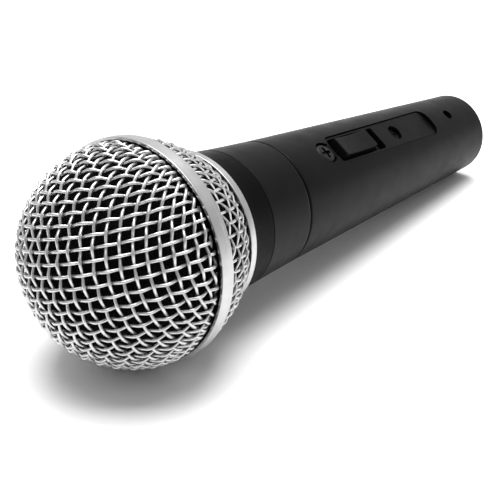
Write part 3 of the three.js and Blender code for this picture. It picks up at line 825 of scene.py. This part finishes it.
def add_collar(materials):
    """The spigot that the grille screws onto, the label's groove and the flank down to the seam."""
    front = RING_REAR + GAP / 2
    rear = SEAM - GAP / 2
    spigot = collar_radius(front) - SPIGOT_STEP
    flank = [(collar_radius(station), station) for station in np.arange(*COLLAR_FLANK, FLANK_STEP)]
    corners = [
        (spigot, SPIGOT_FRONT, 0.3),
        (spigot, front),
        (collar_radius(front), front, 0.2),
        (collar_radius(LABEL_FRONT), LABEL_FRONT, 0.12),
        (collar_radius(LABEL_FRONT) - LABEL_DEPTH, LABEL_FRONT),
        (collar_radius(LABEL_REAR) - LABEL_DEPTH, LABEL_REAR),
        (collar_radius(LABEL_REAR), LABEL_REAR, 0.22),
        *flank,
        (collar_radius(rear), rear, SEAM_FILLET),
        (COLLAR_REAR_BORE, rear, 0.2),
        (COLLAR_REAR_BORE, 24.6),
        (COLLAR_BORE, 24),
        (COLLAR_BORE, SPIGOT_FRONT),
    ]
    piece = new_object("collar", lathe(rounded(corners)))
    finish(piece, materials["enamel"], "handle_assembly", ["collar_shell"])


def add_label(materials):
    """A thin plain sleeve in the collar's groove, just below its surface."""
    stations = np.linspace(LABEL_FRONT + 0.1, LABEL_REAR - 0.1, 9)
    outside = [[collar_radius(station) - LABEL_SINK, station] for station in stations]
    inside = [[radius - LABEL_THICKNESS, station] for radius, station in reversed(outside)]
    for edge in (outside[0], outside[-1]):
        edge.append(0.12)
    piece = new_object("label_sleeve", lathe(rounded(outside + inside)))
    finish(piece, materials["label"], "handle_assembly", ["label_band"])


def pocket_tools():
    """The solids that cut the switch's pocket, its front screw's seat and the set screw's hole."""
    outline = rounded_rectangle(POCKET_HALF_WIDTH, POCKET_FRONT, POCKET_REAR, POCKET_CORNER)
    pocket = prism(outline, -POCKET_DEPTH, CLEARANCE)
    seat = prism(circle(FRONT_SCREW_HOLE, FRONT_SCREW_PLACE), -POCKET_DEPTH, CLEARANCE)
    neck = block(
        (-NECK_HALF_WIDTH, FRONT_SCREW_PLACE, -POCKET_DEPTH),
        (NECK_HALF_WIDTH, POCKET_FRONT + 1, CLEARANCE),
    )
    for form in (pocket, seat, neck):
        form.transform(SWITCH_IN_BODY)
    low, high = extent("xlr_set_screw")
    hole = prism(circle(SET_SCREW_HOLE, (low.y + high.y) / 2, PIN_SIDES), SOCKET_RADIUS - 1.2,
                 TAIL_RADIUS + CLEARANCE)
    hole.transform(SWITCH_SIDE)
    return pocket, seat, neck, hole


def add_handle(materials):
    """The tapered tube, with its tenon into the collar and the connector's socket in its tail."""
    front = SEAM + GAP / 2
    tenon_rear = SEAM + 3
    flank = [(handle_radius(station), station) for station in np.arange(*HANDLE_FLANK, FLANK_STEP)]
    corners = [
        (TENON_BORE, TENON_FRONT),
        (TENON_RADIUS, TENON_FRONT, 0.3),
        (TENON_RADIUS, front),
        (handle_radius(front), front, SEAM_FILLET),
        *flank,
        (TAIL_RADIUS, TAIL_END - 0.05, 0.6),
        (SOCKET_RADIUS + TAIL_BEVEL, TAIL_END, 0.2),
        (SOCKET_RADIUS, TAIL_END - TAIL_BEVEL, 0.2),
        (SOCKET_RADIUS, SOCKET_FRONT),
        (handle_radius(SOCKET_FRONT) - HANDLE_WALL, SOCKET_FRONT),
        (handle_radius(tenon_rear) - HANDLE_WALL, tenon_rear),
        (TENON_BORE, tenon_rear),
    ]
    piece = new_object("handle_tube", lathe(rounded(corners), HANDLE_SIDES))
    cut(piece, *pocket_tools())
    soften(piece, 0.16, angle=50)
    finish(piece, materials["enamel"], "handle_assembly", ["handle"], angle=40)


# ---- Switch ----
def add_switch_plate(materials):
    """The plate that fills the pocket, and the round lug under its front screw."""
    outline = rounded_rectangle(POCKET_HALF_WIDTH - GAP / 2, POCKET_FRONT + GAP / 2, POCKET_REAR - GAP / 2,
                                POCKET_CORNER - GAP / 2)
    piece = new_object("switch_plate_cover", prism(outline, PLATE_BOTTOM, PLATE_TOP))
    opening = rounded_rectangle(OPENING_HALF_WIDTH, OPENING_FRONT, OPENING_REAR, OPENING_CORNER)
    above = PLATE_TOP + CLEARANCE
    sink = prism(circle(REAR_SCREW_HOLE, REAR_SCREW_PLACE), PLATE_TOP - REAR_SCREW_SINK, above)
    cut(piece, prism(opening, PLATE_BOTTOM - CLEARANCE, above), sink)
    soften(piece, 0.2, 3)
    finish(piece, materials["enamel"], "handle_assembly", ["switch_plate"], SWITCH)

    lug = new_object("switch_plate_lug", prism(circle(FRONT_SCREW_HOLE - 0.2, FRONT_SCREW_PLACE),
                                               PLATE_BOTTOM, LUG_TOP))
    soften(lug, 0.15)
    finish(lug, materials["enamel"], "handle_assembly", place=SWITCH)


def add_screw(name, node, place, radius, low, high, materials):
    """A pan-headed screw with a cross recess."""
    edge = 0.35 * (high - low)
    corners = [(0, low), (radius, low, 0.1), (radius, high - edge, 0.5 * edge),
               (0.82 * radius, high - 0.25 * edge, edge), (0, high)]
    form = lathe(rounded(corners), SCREW_SIDES)
    form.transform(Matrix.Translation((0, place, 0)) @ Matrix.Rotation(math.pi / 2, 4, "X"))
    piece = new_object(name, form)
    reach = 0.62 * radius
    half_slot = 0.15 * radius
    floor = high - 0.6 * (high - low)
    for across, along in ((reach, half_slot), (half_slot, reach)):
        cut(piece, block((-across, place - along, floor), (across, place + along, high + CLEARANCE)))
    soften(piece, 0.05, angle=50)
    finish(piece, materials["dark_steel"], "handle_assembly", [node], SWITCH)


def add_button(materials):
    """The thumb slide, dished along its length, with a soft edge all round and a skirt at its foot."""
    top = []
    for t in np.linspace(-1, 1, BUTTON_STEPS + 1):
        top.append((BUTTON_HALF_LENGTH * t, BUTTON_TOP - BUTTON_DISH * (1 - t * t)))
    outline = [(-BUTTON_HALF_LENGTH, BUTTON_BOTTOM), *top, (BUTTON_HALF_LENGTH, BUTTON_BOTTOM)]
    form = prism(outline, -BUTTON_SKIRT_HALF_WIDTH, BUTTON_SKIRT_HALF_WIDTH)
    form.transform(Matrix(((0, 0, 1, 0), (1, 0, 0, BUTTON_PLACE), (0, 1, 0, 0), (0, 0, 0, 1))))
    piece = new_object("thumb_slide", form)
    front, rear = BUTTON_PLACE - BUTTON_HALF_LENGTH - CLEARANCE, BUTTON_PLACE + BUTTON_HALF_LENGTH + CLEARANCE
    for side in (1, -1):
        near, far = sorted((side * BUTTON_HALF_WIDTH, side * (BUTTON_SKIRT_HALF_WIDTH + CLEARANCE)))
        cut(piece, block((near, front, BUTTON_SKIRT_TOP), (far, rear, BUTTON_TOP + CLEARANCE)))
    soften(piece, 0.3, 4, 50)
    finish(piece, materials["button_plastic"], "switch_slider", ["switch_button"], SWITCH)


def add_switch(materials):
    add_switch_plate(materials)
    add_screw("front_plate_screw", "switch_front_screw", FRONT_SCREW_PLACE, FRONT_SCREW_HEAD, LUG_TOP + 0.1,
              FRONT_SCREW_TOP, materials)
    add_screw("rear_plate_screw", "switch_rear_screw", REAR_SCREW_PLACE, REAR_SCREW_HEAD,
              PLATE_TOP - REAR_SCREW_SINK - 0.1, REAR_SCREW_TOP, materials)
    add_button(materials)


# ---- Connector ----
def pin_places():
    """Three quarters of the pins' circle, as (x, z)."""
    return [(PIN_CIRCLE * math.cos(a), PIN_CIRCLE * math.sin(a)) for a in (0, -math.pi, -math.pi / 2)]


def add_connector(materials):
    """The insert with its raised rim, and the three pins that stand in it."""
    low, high = extent("xlr_insert")
    radius = high.z
    corners = [(0, low.y), (radius, low.y, 0.2), (radius, high.y, 0.3), (radius - INSERT_RIM, high.y, 0.1),
               (radius - INSERT_RIM - 0.1, high.y - INSERT_SINK, 0.1), (0, high.y - INSERT_SINK)]
    piece = new_object("connector_insert", lathe(rounded(corners), INSERT_SIDES))
    finish(piece, materials["black_plastic"], "handle_assembly", ["xlr_insert"])
    for index, (x, z) in enumerate(pin_places()):
        node = f"xlr_pin_{index + 1}"
        low, high = extent(node)
        corners = [(0, low.y), (PIN_RADIUS, low.y, 0.1), (PIN_RADIUS, high.y - PIN_TIP_LENGTH, 0.3),
                   (PIN_TIP_RADIUS, high.y, 0.4), (0, high.y)]
        form = lathe(rounded(corners), PIN_SIDES)
        form.transform(Matrix.Translation((x, 0, z)))
        finish(new_object(f"contact_pin_{index + 1}", form), materials["brass"], "handle_assembly",
               [node])


# ---- Pieces that keep their CAD shape ----
def finish_cad_nodes(materials):
    """Gives every CAD node that still shows the procedural finish of its slot."""
    slots = {part["node"]: part["material_slot"] for part in frame["record"]["subparts"]}
    for name, node in frame["nodes"].items():
        node.data.materials.clear()
        node.data.materials.append(materials[slots[name]])


# ---- Studio ----
def add_floor():
    """A wide pale table top at z = 0."""
    form = bmesh.new()
    bmesh.ops.create_grid(form, x_segments=1, y_segments=1, size=FLOOR_HALF_SIZE)
    floor = new_object("floor", form)
    shader = Shader("pale_floor")
    shader.colour(shader.noise(3), grey(0.86), grey(0.9))
    shader.set(Specular_IOR_Level=0.1)
    shader.roughness(shader.noise(8), 0.75, 0.85)
    floor.data.materials.append(shader.material)
    floor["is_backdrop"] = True


def add_overhead_light():
    """A square soft light aimed at the middle of the microphone."""
    low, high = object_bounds()
    target = (Vector(low) + Vector(high)) / 2
    data = bpy.data.lights.new("overhead", "AREA")
    data.size = LIGHT_SIZE
    data.energy = LIGHT_POWER
    light = bpy.data.objects.new("overhead", data)
    bpy.context.scene.collection.objects.link(light)
    offset = Vector(LIGHT_DIRECTION).normalized()
    light.location = target + offset * LIGHT_DISTANCE
    light.rotation_euler = offset.to_track_quat("Z", "Y").to_euler()


def studio_world():
    """White walls all round, dimmest at the front left and brightest behind and above."""
    world = bpy.data.worlds.new("studio")
    world.use_nodes = True
    nodes, links = world.node_tree.nodes, world.node_tree.links
    direction = nodes.new("ShaderNodeTexCoord").outputs["Generated"]
    depth = nodes.new("ShaderNodeVectorMath")
    depth.operation = "DOT_PRODUCT"
    depth.inputs[1].default_value = Vector(BRIGHTEST_WALL).normalized()
    links.new(direction, depth.inputs[0])
    strength = nodes.new("ShaderNodeMapRange")
    strength.inputs["From Min"].default_value = -1
    strength.inputs["To Min"].default_value = WALL_STRENGTHS[0]
    strength.inputs["To Max"].default_value = WALL_STRENGTHS[1]
    links.new(depth.outputs["Value"], strength.inputs["Value"])
    links.new(strength.outputs["Result"], nodes["Background"].inputs["Strength"])
    nodes["Background"].inputs["Color"].default_value = (1, 1, 1, 1)
    return world


def add_studio():
    scene = bpy.context.scene
    scene.view_settings.view_transform = "Standard"
    scene.world = studio_world()
    add_floor()
    add_overhead_light()


# ---- Build ----
add_camera()
materials = make_materials()
finish_cad_nodes(materials)
add_foam(materials)
add_dome(materials)
add_bowl(materials)
add_band(materials)
add_base_ring(materials)
add_collar(materials)
add_label(materials)
add_handle(materials)
add_switch(materials)
add_connector(materials)
add_studio()
